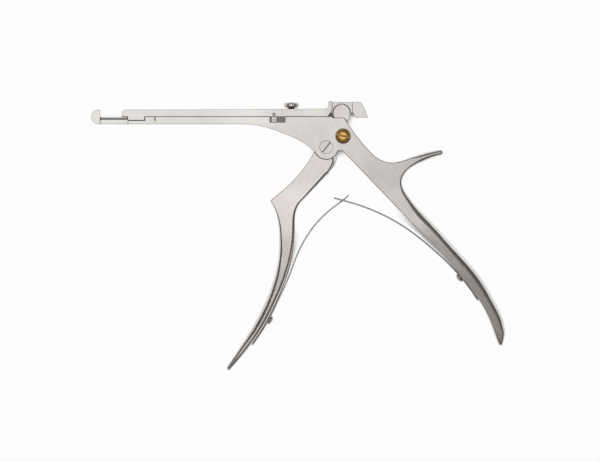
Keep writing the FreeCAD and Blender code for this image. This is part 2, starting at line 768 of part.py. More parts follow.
def build_key_pin():
    """Straight pin through the slide, with eased ends."""
    radius, half, ease = size("key_pin") / 2, size("slide_width") / 2, 0.15
    section = Outline(0, -half)
    section.line((radius - ease, -half), (radius, ease - half), (radius, half - ease))
    section.line((radius - ease, half), (0, half))
    pin = turned("key_pin", section.close(), "XZ_Plane", "Z_Axis")
    x = size("key_front_x") + size("key_length") / 2
    y = PARTING + size("slide_gap") + size("key_socket") / 2
    pin.Placement = Placement(Vector(x, y, 0), Rotation())
    return pin


def build_knob():
    """Fluted mushroom head on a neck, with a threaded shank in the slide."""
    top = size("slide_rear_top")
    seat = top + size("running_gap")
    neck, shank, head = size("knob_neck") / 2, size("knob_shank") / 2, size("knob_head") / 2
    under = top + size("knob_neck_tall")
    crown = under + size("knob_head_tall")
    end = PARTING + size("slide_gap") + size("knob_floor") + size("knob_end_gap")
    section = Outline(0, end)
    section.line((shank, end), (shank, seat), (neck, seat), (neck - 0.3, under), (head - 0.9, under))
    section.line((head, under + 0.7), (head, crown - 0.7), (head - 0.6, crown), (0, crown))
    solid = turned("knob_solid", section.close(), "XY_Plane", "Y_Axis")
    solid.Placement = Placement(Vector(size("knob_x"), 0, 0), Rotation())
    flutes = []
    for n in range(int(size("knob_flutes"))):
        x, z = on_circle(head + 0.25, 360.0 * n / size("knob_flutes"))
        base = ("Sizes.knob_x + %f" % x, "%f" % (under - 0.5), "%f" % z)
        upright = Rotation(Vector(1, 0, 0), -90)
        flutes.append(rod("flute_%d" % n, base, "Sizes.flute_round", "Sizes.knob_head_tall + 1", upright))
    return cut("knob_cut", solid, *flutes)


def height_on(curve, y):
    """The parameter at which a curve that only rises or only falls reaches a height."""
    low, high = curve.FirstParameter, curve.LastParameter
    rising = curve.value(high).y > curve.value(low).y
    for _ in range(40):
        trial = (low + high) / 2
        if (curve.value(trial).y < y) == rising:
            low = trial
        else:
            high = trial
    return (low + high) / 2


def side_point(curve, parameter, offset):
    """A point beside a curve, offset to the right of its direction."""
    direction = curve.tangent(parameter)[0]
    spot = curve.value(parameter) + Vector(direction.y, -direction.x, 0) * offset
    return (spot.x, spot.y)


def leaf_outline(inner, seat_heights, free_points, side):
    """Side view of a leaf that lies along a grip's inner side and then bends away through free points."""
    gap, thick = size("leaf_seat"), size("leaf_thick")
    seats = [side_point(inner, height_on(inner, y), side * (gap + thick / 2)) for y in seat_heights]
    line = through(*(seats + free_points))
    first, last = line.FirstParameter, line.LastParameter
    stations = [line.parameter(Vector(x, y, 0)) for x, y in seats + free_points]
    stations[0], stations[-1] = first, last
    right = [side_point(line, s, thick / 2) for s in stations]
    left = [side_point(line, s, -thick / 2) for s in reversed(stations)]
    outline = Outline(*right[0])
    outline.spline(*right[1:])
    outline.line(left[0])
    outline.spline(*left[1:])
    return outline.close()


# Heights at which a leaf lies on its grip, and the points that its middle line bends through above
FRONT_LEAF_SEATS = [-122.2, -116.0, -110.0, -104.0, -98.0, -92.5]
FRONT_LEAF_FREE = [
    (-25.2, -84.7), (-22.1, -77.3), (-19.4, -69.8), (-16.2, -62.4), (-12.0, -54.9), (-6.6, -47.5),
    (0.7, -40.1), (10.3, -32.7), (13.9, -29.6)
]
REAR_LEAF_SEATS = [-94.6, -90.5, -86.5, -82.5, -79.0]
REAR_LEAF_FREE = [
    (76.9, -73.3), (73.2, -69.5), (65.4, -62.6), (60.6, -58.4), (50.7, -50.9), (40.7, -44.7),
    (30.8, -39.8), (20.9, -36.0), (10.3, -32.8), (4.9, -31.4)
]


def build_front_leaf():
    """Its end narrows to a tongue that passes through the slot of the rear leaf."""
    curves = leaf_outline(FRONT_INNER, FRONT_LEAF_SEATS, FRONT_LEAF_FREE, 1)
    leaf = plate("front_leaf", curves, "Sizes.leaf_width")
    trims = []
    for hand, low in (("near", "Sizes.leaf_tongue / 2"), ("far", "-Sizes.leaf_tongue / 2 - 10")):
        corner = ("Sizes.tongue_start_x", "Sizes.crossing_low_y", low)
        trims.append(box("tongue_trim_" + hand, corner, ("12", "14", "10")))
    return cut("front_leaf_cut", leaf, *trims)


def build_rear_leaf():
    curves = leaf_outline(REAR_INNER, REAR_LEAF_SEATS, REAR_LEAF_FREE, -1)
    leaf = plate("rear_leaf", curves, "Sizes.leaf_width")
    slot = box(
        "leaf_slot", ("Sizes.leaf_slot_start_x", "Sizes.crossing_low_y", "-Sizes.leaf_slot / 2"),
        ("Sizes.leaf_slot_end_x - Sizes.leaf_slot_start_x", "12", "Sizes.leaf_slot")
    )
    return cut("rear_leaf_cut", leaf, slot)


def leaf_screw(name, inner, y, side):
    """Domed slotted screw through a leaf into the grip, and the place that it takes."""
    head, shank = size("leaf_screw_head") / 2, size("leaf_screw_shank") / 2
    tall, length = size("leaf_screw_tall"), size("leaf_screw_length")
    section = Outline(-length, 0)
    section.line((-length, shank), (0, shank), (0, head), (0.5 * tall, head))
    section.line((0.85 * tall, 0.75 * head), (tall, 0.4 * head), (tall, 0))
    solid = turned(name + "_solid", section.close(), "XY_Plane", "X_Axis")
    slot = box(
        name + "_slot", ("Sizes.leaf_screw_tall - Sizes.slot_depth", "-5", "-Sizes.slot_width / 2"),
        ("5", "10", "Sizes.slot_width")
    )
    parameter = height_on(inner, y)
    base = side_point(inner, parameter, side * (size("leaf_thick") + size("leaf_screw_seat")))
    direction = inner.tangent(parameter)[0]
    outward = Vector(direction.y, -direction.x, 0) * side
    angle = math.degrees(math.atan2(outward.y, outward.x))
    place = Placement(Vector(base[0], base[1], 0), Rotation(Vector(0, 0, 1), angle))
    return cut(name + "_cut", solid, slot), place


def screw_hole(name, place, gap):
    """Round cutter for a leaf screw, wider than its shank by the gap all round."""
    hole = doc.addObject("Part::Cylinder", name)
    radius = "Sizes.leaf_screw_shank / 2 + Sizes." + gap
    bind(hole, {"Radius": radius, "Height": "Sizes.leaf_screw_length + 3"})
    depth = size("leaf_screw_length") + size("leaf_hole_gap")
    hole.Placement = place * Placement(Vector(-depth, 0, 0), Rotation(Vector(0, 1, 0), 90))
    return hole


def drilled(name, piece, place, gap):
    return cut(name + "_drilled", piece, screw_hole(name + "_hole", place, gap))


front_screw, front_screw_place = leaf_screw("front_screw", FRONT_INNER, size("front_screw_y"), 1)
rear_screw, rear_screw_place = leaf_screw("rear_screw", REAR_INNER, size("rear_screw_y"), -1)

NODES = {
    "frame_with_rear_handle": drilled("frame", build_frame(), rear_screw_place, "grip_hole_gap"),
    "sliding_shaft": build_slide(),
    "front_handle": drilled("handle", build_front_handle(), front_screw_place, "grip_hole_gap"),
    "pivot_screw": build_pivot_screw(),
    "stop_screw": build_stop_screw(),
    "stop_screw_nut": build_stop_nut(),
    "guide_key": build_key(),
    "guide_key_pin": build_key_pin(),
    "lift_knob": build_knob(),
    "front_leaf_spring": drilled("front_leaf", build_front_leaf(), front_screw_place, "leaf_hole_gap"),
    "rear_leaf_spring": drilled("rear_leaf", build_rear_leaf(), rear_screw_place, "leaf_hole_gap"),
    "front_spring_screw": front_screw,
    "rear_spring_screw": rear_screw,
}
doc.recompute()

# Stand every piece on its side: the pivot goes to its place and the grips' sides to Z = 0
home = Placement(Vector(size("pivot_x"), size("pivot_y"), HALF_GRIP), Rotation())
OWN_PLACES = {"front_spring_screw": front_screw_place, "rear_spring_screw": rear_screw_place}
for label, piece in NODES.items():
    piece.Label = label
    own = OWN_PLACES.get(label, piece.Placement)
    piece.Placement = home * own
doc.recompute()

failed = [item.Name for item in doc.Objects if "Invalid" in item.State or "Error" in item.State]
if failed:
    raise RuntimeError("these objects failed: %s" % failed)

os.makedirs("parts", exist_ok=True)
everything = FreeCAD.BoundBox()
for label, piece in NODES.items():
    shape = piece.Shape
    if shape.isNull() or not shape.isValid():
        raise RuntimeError("%s has no valid shape" % label)
    everything.add(shape.BoundBox)
    print("%-24s solids %d volume %9.1f" % (label, len(shape.Solids), shape.Volume))
for label, piece in NODES.items():
    piece.Shape.exportStep("parts/%s.step" % label)
print("box", everything)
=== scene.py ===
"""Looks of a take-apart bone rongeur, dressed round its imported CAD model.

The instrument lies on its side on a pale table and is seen from straight above.
"""

import logging
import math
from dataclasses import dataclass
from enum import Enum

import bmesh
import bpy
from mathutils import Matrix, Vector
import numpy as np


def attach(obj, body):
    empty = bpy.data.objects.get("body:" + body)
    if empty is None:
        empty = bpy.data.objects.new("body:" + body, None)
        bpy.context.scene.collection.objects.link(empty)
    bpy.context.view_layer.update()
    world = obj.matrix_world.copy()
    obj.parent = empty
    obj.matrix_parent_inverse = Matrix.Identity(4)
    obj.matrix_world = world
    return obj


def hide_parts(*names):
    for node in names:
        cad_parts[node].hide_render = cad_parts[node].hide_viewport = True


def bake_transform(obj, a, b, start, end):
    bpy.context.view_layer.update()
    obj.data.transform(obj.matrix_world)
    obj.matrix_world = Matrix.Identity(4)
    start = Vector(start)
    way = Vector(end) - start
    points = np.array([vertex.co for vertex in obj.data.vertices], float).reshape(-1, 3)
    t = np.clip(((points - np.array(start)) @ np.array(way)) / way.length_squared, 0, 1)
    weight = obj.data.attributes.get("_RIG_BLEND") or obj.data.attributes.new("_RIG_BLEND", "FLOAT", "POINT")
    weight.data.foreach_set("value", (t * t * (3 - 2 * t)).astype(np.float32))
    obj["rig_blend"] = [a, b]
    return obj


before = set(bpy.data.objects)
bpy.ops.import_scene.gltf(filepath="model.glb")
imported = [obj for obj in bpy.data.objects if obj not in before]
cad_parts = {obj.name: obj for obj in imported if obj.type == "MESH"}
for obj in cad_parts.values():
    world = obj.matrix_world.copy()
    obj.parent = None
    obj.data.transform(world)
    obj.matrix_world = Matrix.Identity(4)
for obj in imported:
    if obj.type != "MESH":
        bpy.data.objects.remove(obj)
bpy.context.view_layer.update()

LOG = logging.getLogger("bone_rongeur")
MM = 0.001

# The lever pivot in the frame of the CAD model, in millimetres. The outlines' points are measured from it
PIVOT = Vector((17.3, 54.8, 6.5))

# Painted shade: metal in slots and narrow gaps is darkened to this colour, where other faces are this near
GROOVE_SHADE_COLOUR = "#2B2624"
GROOVE_SHADE_REACH_MM = 1.5


class Stroke(Enum):
    """Which way a ground surface was stroked, as an angle from the shafts' direction in degrees."""

    ALONG_SHAFT = 0.0
    ACROSS_SHAFT = 90.0
    ALONG_FRONT_GRIP = -108.0
    ALONG_REAR_GRIP = -54.0


def linear(colour: str) -> tuple[float, float, float, float]:
    """Turn an sRGB hex colour into linear light.

    Args:
        colour: Hex colour such as "#C8C4BE".

    Returns:
        Red, green, blue and alpha for a colour socket.
    """
    parts = [int(colour[n : n + 2], 16) / 255 for n in (1, 3, 5)]
    lit = [c / 12.92 if c <= 0.04045 else ((c + 0.055) / 1.055) ** 2.4 for c in parts]
    return (lit[0], lit[1], lit[2], 1.0)


def add_node(tree: bpy.types.NodeTree, kind: str, sockets: dict | None = None, **settings) -> bpy.types.Node:
    """Add a node, set its attributes and fill its sockets.

    Args:
        tree: The material's or world's node tree.
        kind: The node's type name.
        sockets: Values or output sockets, by input name or number.
        **settings: Attributes of the node, such as its operation.

    Returns:
        The new node.
    """
    node = tree.nodes.new(kind)
    for name, value in settings.items():
        setattr(node, name, value)
    for key, value in (sockets or {}).items():
        if isinstance(value, bpy.types.NodeSocket):
            tree.links.new(value, node.inputs[key])
        else:
            node.inputs[key].default_value = value
    return node


def new_tree(owner: bpy.types.Material | bpy.types.World) -> bpy.types.NodeTree:
    """Give a material or world an empty node tree.

    Args:
        owner: The material or world.

    Returns:
        Its tree, with no nodes in it.
    """
    owner.use_nodes = True
    owner.node_tree.nodes.clear()
    return owner.node_tree


def add_object(name: str, data: bpy.types.ID) -> bpy.types.Object:
    """Put a mesh, light or camera into the scene.

    Args:
        name: The object's name.
        data: What the object shows.

    Returns:
        The new object.
    """
    thing = bpy.data.objects.new(name, data)
    bpy.context.scene.collection.objects.link(thing)
    return thing


def as_evaluated(thing: bpy.types.Object) -> bpy.types.Mesh:
    """Turn an object with its modifiers into a plain mesh.

    Args:
        thing: The object.

    Returns:
        A new mesh.
    """
    return bpy.data.meshes.new_from_object(thing.evaluated_get(bpy.context.evaluated_depsgraph_get()))


def paint_shade_in_grooves(tree: bpy.types.NodeTree, colour: bpy.types.NodeSocket) -> bpy.types.NodeSocket:
    """Paint shade into a colour in slots and narrow gaps, where other faces are near.

    Args:
        tree: The material's tree.
        colour: The metal's colour without the painted shade.

    Returns:
        The colour with painted shade in the grooves.
    """
    cover = add_node(tree, "ShaderNodeAmbientOcclusion", {"Distance": GROOVE_SHADE_REACH_MM * MM}, samples=8)
    unshaded_share = add_node(
        tree, "ShaderNodeMapRange",
        {"Value": cover.outputs["AO"], "From Min": 0.35, "From Max": 0.8, "To Min": 0.08, "To Max": 1.0},
    )
    dim = add_node(
        tree, "ShaderNodeMix",
        {"Factor": unshaded_share.outputs[0], "A": linear(GROOVE_SHADE_COLOUR), "B": colour}, data_type="RGBA",
    )
    return dim.outputs["Result"]


@dataclass(frozen=True)
class GroundSteel:
    """Martensitic stainless steel, ground on a fine belt to a satin.

    The belt leaves parallel strokes, which spread each highlight and show as faint light and dark lines.
    """

    name: str
    stroke: Stroke
    light: str = "#E6E3E0"
    dark: str = "#CFCCC9"
    roughness: float = 0.27
    # Real belt strokes lie about 0.1 mm apart: they are drawn coarser, so that the render shows them
    stroke_gap_mm: float = 0.5
    stroke_length_mm: float = 14.0
    stroke_depth_mm: float = 0.008
    stroke_strength: float = 0.35
    cloud_mm: float = 30.0
    edge_mm: float = 0.45

    def build(self) -> bpy.types.Material:
        """Make the material.

        Returns:
            The finished material.
        """
        material = bpy.data.materials.new(self.name)
        tree = new_tree(material)
        place = add_node(tree, "ShaderNodeTexCoord").outputs["Object"]
        size = (self.stroke_length_mm * MM, self.stroke_gap_mm * MM, self.stroke_gap_mm * MM)
        turn = (0.0, 0.0, math.radians(self.stroke.value))
        lie = add_node(
            tree, "ShaderNodeMapping", {"Vector": place, "Rotation": turn, "Scale": size},
            vector_type="TEXTURE",
        )
        strokes = add_node(
            tree, "ShaderNodeTexNoise",
            {"Vector": lie.outputs[0], "Scale": 1.0, "Detail": 3.0, "Roughness": 0.65},
        )
        clouds = add_node(
            tree, "ShaderNodeTexNoise", {"Vector": place, "Scale": 1 / (self.cloud_mm * MM), "Detail": 2.0}
        )
        tone = add_node(
            tree, "ShaderNodeMath", {0: strokes.outputs["Fac"], 1: clouds.outputs["Fac"]}, operation="ADD"
        )
        spread = add_node(
            tree, "ShaderNodeMapRange", {"Value": tone.outputs[0], "From Min": 0.7, "From Max": 1.3}
        )
        colour = add_node(
            tree, "ShaderNodeMix",
            {"Factor": spread.outputs[0], "A": linear(self.dark), "B": linear(self.light)}, data_type="RGBA",
        )
        rough = add_node(
            tree, "ShaderNodeMapRange",
            {
                "Value": strokes.outputs["Fac"], "From Min": 0.3, "From Max": 0.7,
                "To Min": self.roughness - 0.06, "To Max": self.roughness + 0.08,
            },
        )
        edge = add_node(tree, "ShaderNodeBevel", {"Radius": self.edge_mm * MM}, samples=8)
        bump = add_node(
            tree, "ShaderNodeBump",
            {
                "Height": strokes.outputs["Fac"], "Normal": edge.outputs[0],
                "Strength": self.stroke_strength, "Distance": self.stroke_depth_mm * MM,
            },
        )
        # Painted shade: the base colour is darkened in slots and narrow gaps
        shader = add_node(
            tree, "ShaderNodeBsdfPrincipled",
            {
                "Base Color": paint_shade_in_grooves(tree, colour.outputs["Result"]), "Metallic": 1.0,
                "Roughness": rough.outputs[0], "Normal": bump.outputs[0],
            },
        )
        add_node(tree, "ShaderNodeOutputMaterial", {"Surface": shader.outputs[0]})
        return material


@dataclass(frozen=True)
class TurnedMetal:
    """Bar stock turned on a lathe and lightly polished: fine rings round the screw's axis."""

    name: str
    light: str
    dark: str
    roughness: float
    centre_mm: tuple[float, float, float]
    # The rings are turned about this axis: the other two directions measure the distance from it
    axis: tuple[float, float, float] = (0.0, 0.0, 1.0)
    ring_mm: float = 0.5
    ring_depth_mm: float = 0.01
    ring_strength: float = 0.25
    patch_mm: float = 3.0
    edge_mm: float = 0.3

    def build(self) -> bpy.types.Material:
        """Make the material.

        Returns:
            The finished material.
        """
        material = bpy.data.materials.new(self.name)
        tree = new_tree(material)
        place = add_node(tree, "ShaderNodeTexCoord").outputs["Object"]
        centre = tuple(value * MM for value in self.centre_mm)
        away = add_node(tree, "ShaderNodeVectorMath", {0: place, 1: centre}, operation="SUBTRACT")
        flat = tuple(0.0 if part else 1.0 for part in self.axis)
        level = add_node(tree, "ShaderNodeVectorMath", {0: away.outputs[0], 1: flat}, operation="MULTIPLY")
        reach = add_node(tree, "ShaderNodeVectorMath", {0: level.outputs[0]}, operation="LENGTH")
        rings = add_node(
            tree, "ShaderNodeTexNoise",
            {"W": reach.outputs["Value"], "Scale": 1 / (self.ring_mm * MM), "Detail": 2.0},
            noise_dimensions="1D",
        )
        patches = add_node(
            tree, "ShaderNodeTexNoise", {"Vector": place, "Scale": 1 / (self.patch_mm * MM), "Detail": 3.0}
        )
        colour = add_node(
            tree, "ShaderNodeMix",
            {"Factor": patches.outputs["Fac"], "A": linear(self.dark), "B": linear(self.light)},
            data_type="RGBA",
        )
        rough = add_node(
            tree, "ShaderNodeMapRange",
            {
                "Value": patches.outputs["Fac"],
                "To Min": self.roughness - 0.05, "To Max": self.roughness + 0.1,
            },
        )
        edge = add_node(tree, "ShaderNodeBevel", {"Radius": self.edge_mm * MM}, samples=8)
        bump = add_node(
            tree, "ShaderNodeBump",
            {
                "Height": rings.outputs["Fac"], "Normal": edge.outputs[0],
                "Strength": self.ring_strength, "Distance": self.ring_depth_mm * MM,
            },
        )
        # Painted shade: the base colour is darkened in slots and narrow gaps
        shader = add_node(
            tree, "ShaderNodeBsdfPrincipled",
            {
                "Base Color": paint_shade_in_grooves(tree, colour.outputs["Result"]), "Metallic": 1.0,
                "Roughness": rough.outputs[0], "Normal": bump.outputs[0],
            },
        )
        add_node(tree, "ShaderNodeOutputMaterial", {"Surface": shader.outputs[0]})
        return material


@dataclass
class DressedPiece:
    """A piece of the CAD model that keeps its mesh and gets its finish."""

    node: str
    finish: GroundSteel | TurnedMetal

    def make(self) -> None:
        """Dress the piece."""
        material = self.finish.build()
        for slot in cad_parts[self.node].material_slots:
            slot.material = material
        LOG.info("dressed %s in %s", self.node, material.name)


@dataclass
class RubbedForging:
    """A forging of the CAD model whose outline was rubbed round by hand, more at some places.

    The CAD model keeps the forging's corners square. Here they are cut back along the rim of both sides,
    to a crowned band that starts with a faint crease.
    """

    node: str
    body: str
    finish: GroundSteel
    band_finish: GroundSteel
    # The rim is followed from its start, first towards the second point, to its end
    start: tuple[float, float]
    towards: tuple[float, float]
    end: tuple[float, float]
    # Places along the rim in order, and how far the band reaches in from there: x, y and width
    rubs: list[tuple[float, float, float]]
    # Faces nearer to the middle plane than this belong to the fork or the tang
    inner_half: float = 2.5
    # Most that a wall's normal and least that a side's normal points up
    wall_rise: float = 0.2
    side_rise: float = 0.7
    # The band's depth over its width, and the share of the half thickness that it never passes
    steepness: float = 1.5
    deepest_share: float = 0.9
    crease_deg: float = 20.0
    segments: int = 9
    # The cutter stands this far out of the wall, and this share of its width above the side
    outside: float = 1.0
    above_share: float = 0.6
    past_wall: float = 0.05
    # Distance between the cutter's sections, and how far from a corner of the rim it swings round
    step: float = 1.0
    ease: float = 3.0
    # Least cosine that the cutter's corners are mitred for, so that sharp corners don't run far out
    mitre_least: float = 0.6
    sharp_deg: float = 30.0

    def widths(self, spots: list[Vector]) -> list[float]:
        """Spread the widths of the named places along the rim.

        Args:
            spots: Points that follow the rim, in millimetres from the pivot.

        Returns:
            How far the band reaches in at each of them, in millimetres.
        """
        places = []
        for x, y, _ in self.rubs:
            first = places[-1] if places else 0
            reach = [(spot.xy - Vector((x, y))).length for spot in spots[first:]]
            places.append(first + reach.index(min(reach)))
        places[0], places[-1] = 0, len(spots) - 1
        found = []
        for n in range(len(spots)):
            after = max(1, next(k for k, place in enumerate(places) if place >= n))
            start, end = places[after - 1], places[after]
            share = (n - start) / max(1, end - start)
            share = share * share * (3 - 2 * share)
            found.append(self.rubs[after - 1][2] * (1 - share) + self.rubs[after][2] * share)
        return found

    def rim(self, shape: bmesh.types.BMesh, side: int) -> list[bmesh.types.BMVert]:
        """Follow the edge between one side of the forging and its walls.

        Args:
            shape: The forging.
            side: 1 for the side that looks up, -1 for the one that lies down.

        Returns:
            The rim's corners in order.
        """
        beside = {}
        for edge in shape.edges:
            rises = sorted(face.normal.z * side for face in edge.link_faces)
            out = min(side * (corner.co.z / MM - PIVOT.z) for corner in edge.verts)
            if len(rises) != 2 or out <= self.inner_half:
                continue
            if abs(rises[0]) < self.wall_rise and rises[1] > self.side_rise:
                for here, there in (edge.verts, reversed(edge.verts)):
                    beside.setdefault(here, []).append(there)

        def nearest(corners: list[bmesh.types.BMVert], place: tuple[float, float]) -> bmesh.types.BMVert:
            spot = (PIVOT.xy + Vector(place)) * MM
            return min(corners, key=lambda corner: (corner.co.xy - spot).length)

        first, last = nearest(list(beside), self.start), nearest(list(beside), self.end)
        path = [first, nearest(beside[first], self.towards)]
        for _ in beside:
            if path[-1] is last:
                return path
            path.append(next(corner for corner in beside[path[-1]] if corner is not path[-2]))
        raise RuntimeError("the rim of %s doesn't reach %s" % (self.node, self.end))

    def stations(self, path: list[Vector]) -> list[tuple[Vector, Vector]]:
        """Divide the rim into short steps and find the way into the forging at each.

        Args:
            path: The rim's corners, in millimetres from the pivot.

        Returns:
            Points, each with a flat direction of about length 1 that points into the forging.
        """
        runs = [end - start for start, end in zip(path, path[1:])]
        inward = [Vector((run.y, -run.x, 0)).normalized() for run in runs]
        corners = [inward[0]]
        for before, after in zip(inward, inward[1:]):
            middle = (before + after).normalized()
            corners.append(middle / max(self.mitre_least, middle.dot(after)))
        corners.append(inward[-1])
        found = []
        for n, run in enumerate(runs):
            count = max(1, round(run.length / self.step))
            for k in range(count):
                past, left = run.length * k / count, run.length * (1 - k / count)
                near, toll = (corners[n], past) if past < left else (corners[n + 1], left)
                share = min(1.0, toll / min(self.ease, run.length / 2))
                found.append((path[n] + run * (k / count), near.lerp(inward[n], share)))
        found.append((path[-1], corners[-1]))
        return found

    def section(self, width: float, depth: float) -> list[tuple[float, float]]:
        """Draw the cutter across the rim: it leaves the side at the crease and bends down to the wall.

        Args:
            width: How far the band reaches in from the wall, in millimetres.
            depth: How far the band reaches down the wall, in millimetres.

        Returns:
            Corners, each as millimetres in from the wall and down from the side.
        """
        crease = math.radians(self.crease_deg)
        slope = depth * math.tan(crease) * (1 - math.sin(crease)) / (width * math.cos(crease))
        above = self.above_share * width
        corners = [(-self.outside, -above), (width + above, -slope * above)]
        for n in range(self.segments + 1):
            turn = crease + (math.pi / 2 - crease) * n / self.segments
            fallen = (math.sin(turn) - math.sin(crease)) / (1 - math.sin(crease))
            sunk = (math.cos(crease) - math.cos(turn)) / math.cos(crease)
            corners.append((width * (1 - fallen) - self.past_wall * (n == self.segments), depth * sunk))
        corners.append((-self.outside, depth))
        return corners

    def cutter(self, shape: bmesh.types.BMesh, side: int, material: bpy.types.Material) -> bpy.types.Object:
        """Make the body that takes the corner off along the rim.

        Args:
            shape: The forging.
            side: 1 for the side that looks up, -1 for the one that lies down.
            material: The finish that the band gets.

        Returns:
            The cutter.
        """
        path = [corner.co / MM - PIVOT for corner in self.rim(shape, side)]
        stations = self.stations(path)
        corners = []
        for (spot, inward), width in zip(stations, self.widths([spot for spot, _ in stations])):
            depth = min(self.steepness * width, self.deepest_share * abs(spot.z))
            for into, down in self.section(width, depth):
                corners.append((PIVOT + spot + inward * into - Vector((0, 0, side * down))) * MM)
        rows = len(stations)
        ring = len(corners) // rows
        faces = [tuple(range(ring)), tuple(range((rows - 1) * ring, rows * ring))]
        for row in range(rows - 1):
            for n in range(ring):
                first, second = row * ring + n, row * ring + (n + 1) % ring
                faces.append((first, second, second + ring, first + ring))
        mesh = bpy.data.meshes.new(self.node + "_band")
        mesh.from_pydata(corners, [], faces)
        mesh.materials.append(material)
        body = bmesh.new()
        body.from_mesh(mesh)
        bmesh.ops.recalc_face_normals(body, faces=body.faces)
        body.to_mesh(mesh)
        body.free()
        return add_object(mesh.name, mesh)

    def blank(self, shape: bmesh.types.BMesh, material: bpy.types.Material) -> bpy.types.Object:
        """Copy the square forging, ready to be rubbed.

        Args:
            shape: The forging, which is welded at its corners first.
            material: The finish of its sides and walls.

        Returns:
            The copy.
        """
        bmesh.ops.remove_doubles(shape, verts=shape.verts, dist=0.001 * MM)
        for face in shape.faces:
            face.material_index = 0
        mesh = bpy.data.meshes.new(self.node + "_square")
        shape.to_mesh(mesh)
        # The CAD mesh's own shading doesn't fit its new faces
        for layer in [layer for layer in mesh.attributes if "normal" in layer.name]:
            mesh.attributes.remove(layer)
        mesh.materials.append(material)
        return add_object(mesh.name, mesh)

    def smooth(self, solid: bpy.types.Mesh) -> None:
        """Shade the rubbed band smooth, with a line where it meets the ground sides.

        Args:
            solid: The rubbed forging.
        """
        for face in solid.polygons:
            face.use_smooth = True
        solid.set_sharp_from_angle(angle=math.radians(self.sharp_deg))
        rubbed = bmesh.new()
        rubbed.from_mesh(solid)
        for edge in rubbed.edges:
            if len({face.material_index for face in edge.link_faces}) > 1:
                edge.smooth = False
        rubbed.to_mesh(solid)
        rubbed.free()

    def make(self) -> None:
        """Build the rubbed forging in place of its CAD node."""
        finish, band_finish = self.finish.build(), self.band_finish.build()
        shape = bmesh.new()
        shape.from_mesh(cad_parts[self.node].data)
        blank = self.blank(shape, finish)
        cutters = [self.cutter(shape, side, band_finish) for side in (1, -1)]
        shape.free()
        for cutter in cutters:
            rub = blank.modifiers.new(cutter.name, "BOOLEAN")
            rub.operation = "DIFFERENCE"
            rub.solver = "MANIFOLD"
            rub.material_mode = "TRANSFER"
            rub.object = cutter
        solid = as_evaluated(blank)
        for used in (blank, *cutters):
            bpy.data.objects.remove(used)
        solid.name = self.node + "_rubbed"
        self.smooth(solid)
        piece = add_object(solid.name, solid)
        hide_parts(self.node)
        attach(piece, self.body)
        LOG.info("rubbed %s: %d faces", self.node, len(solid.polygons))


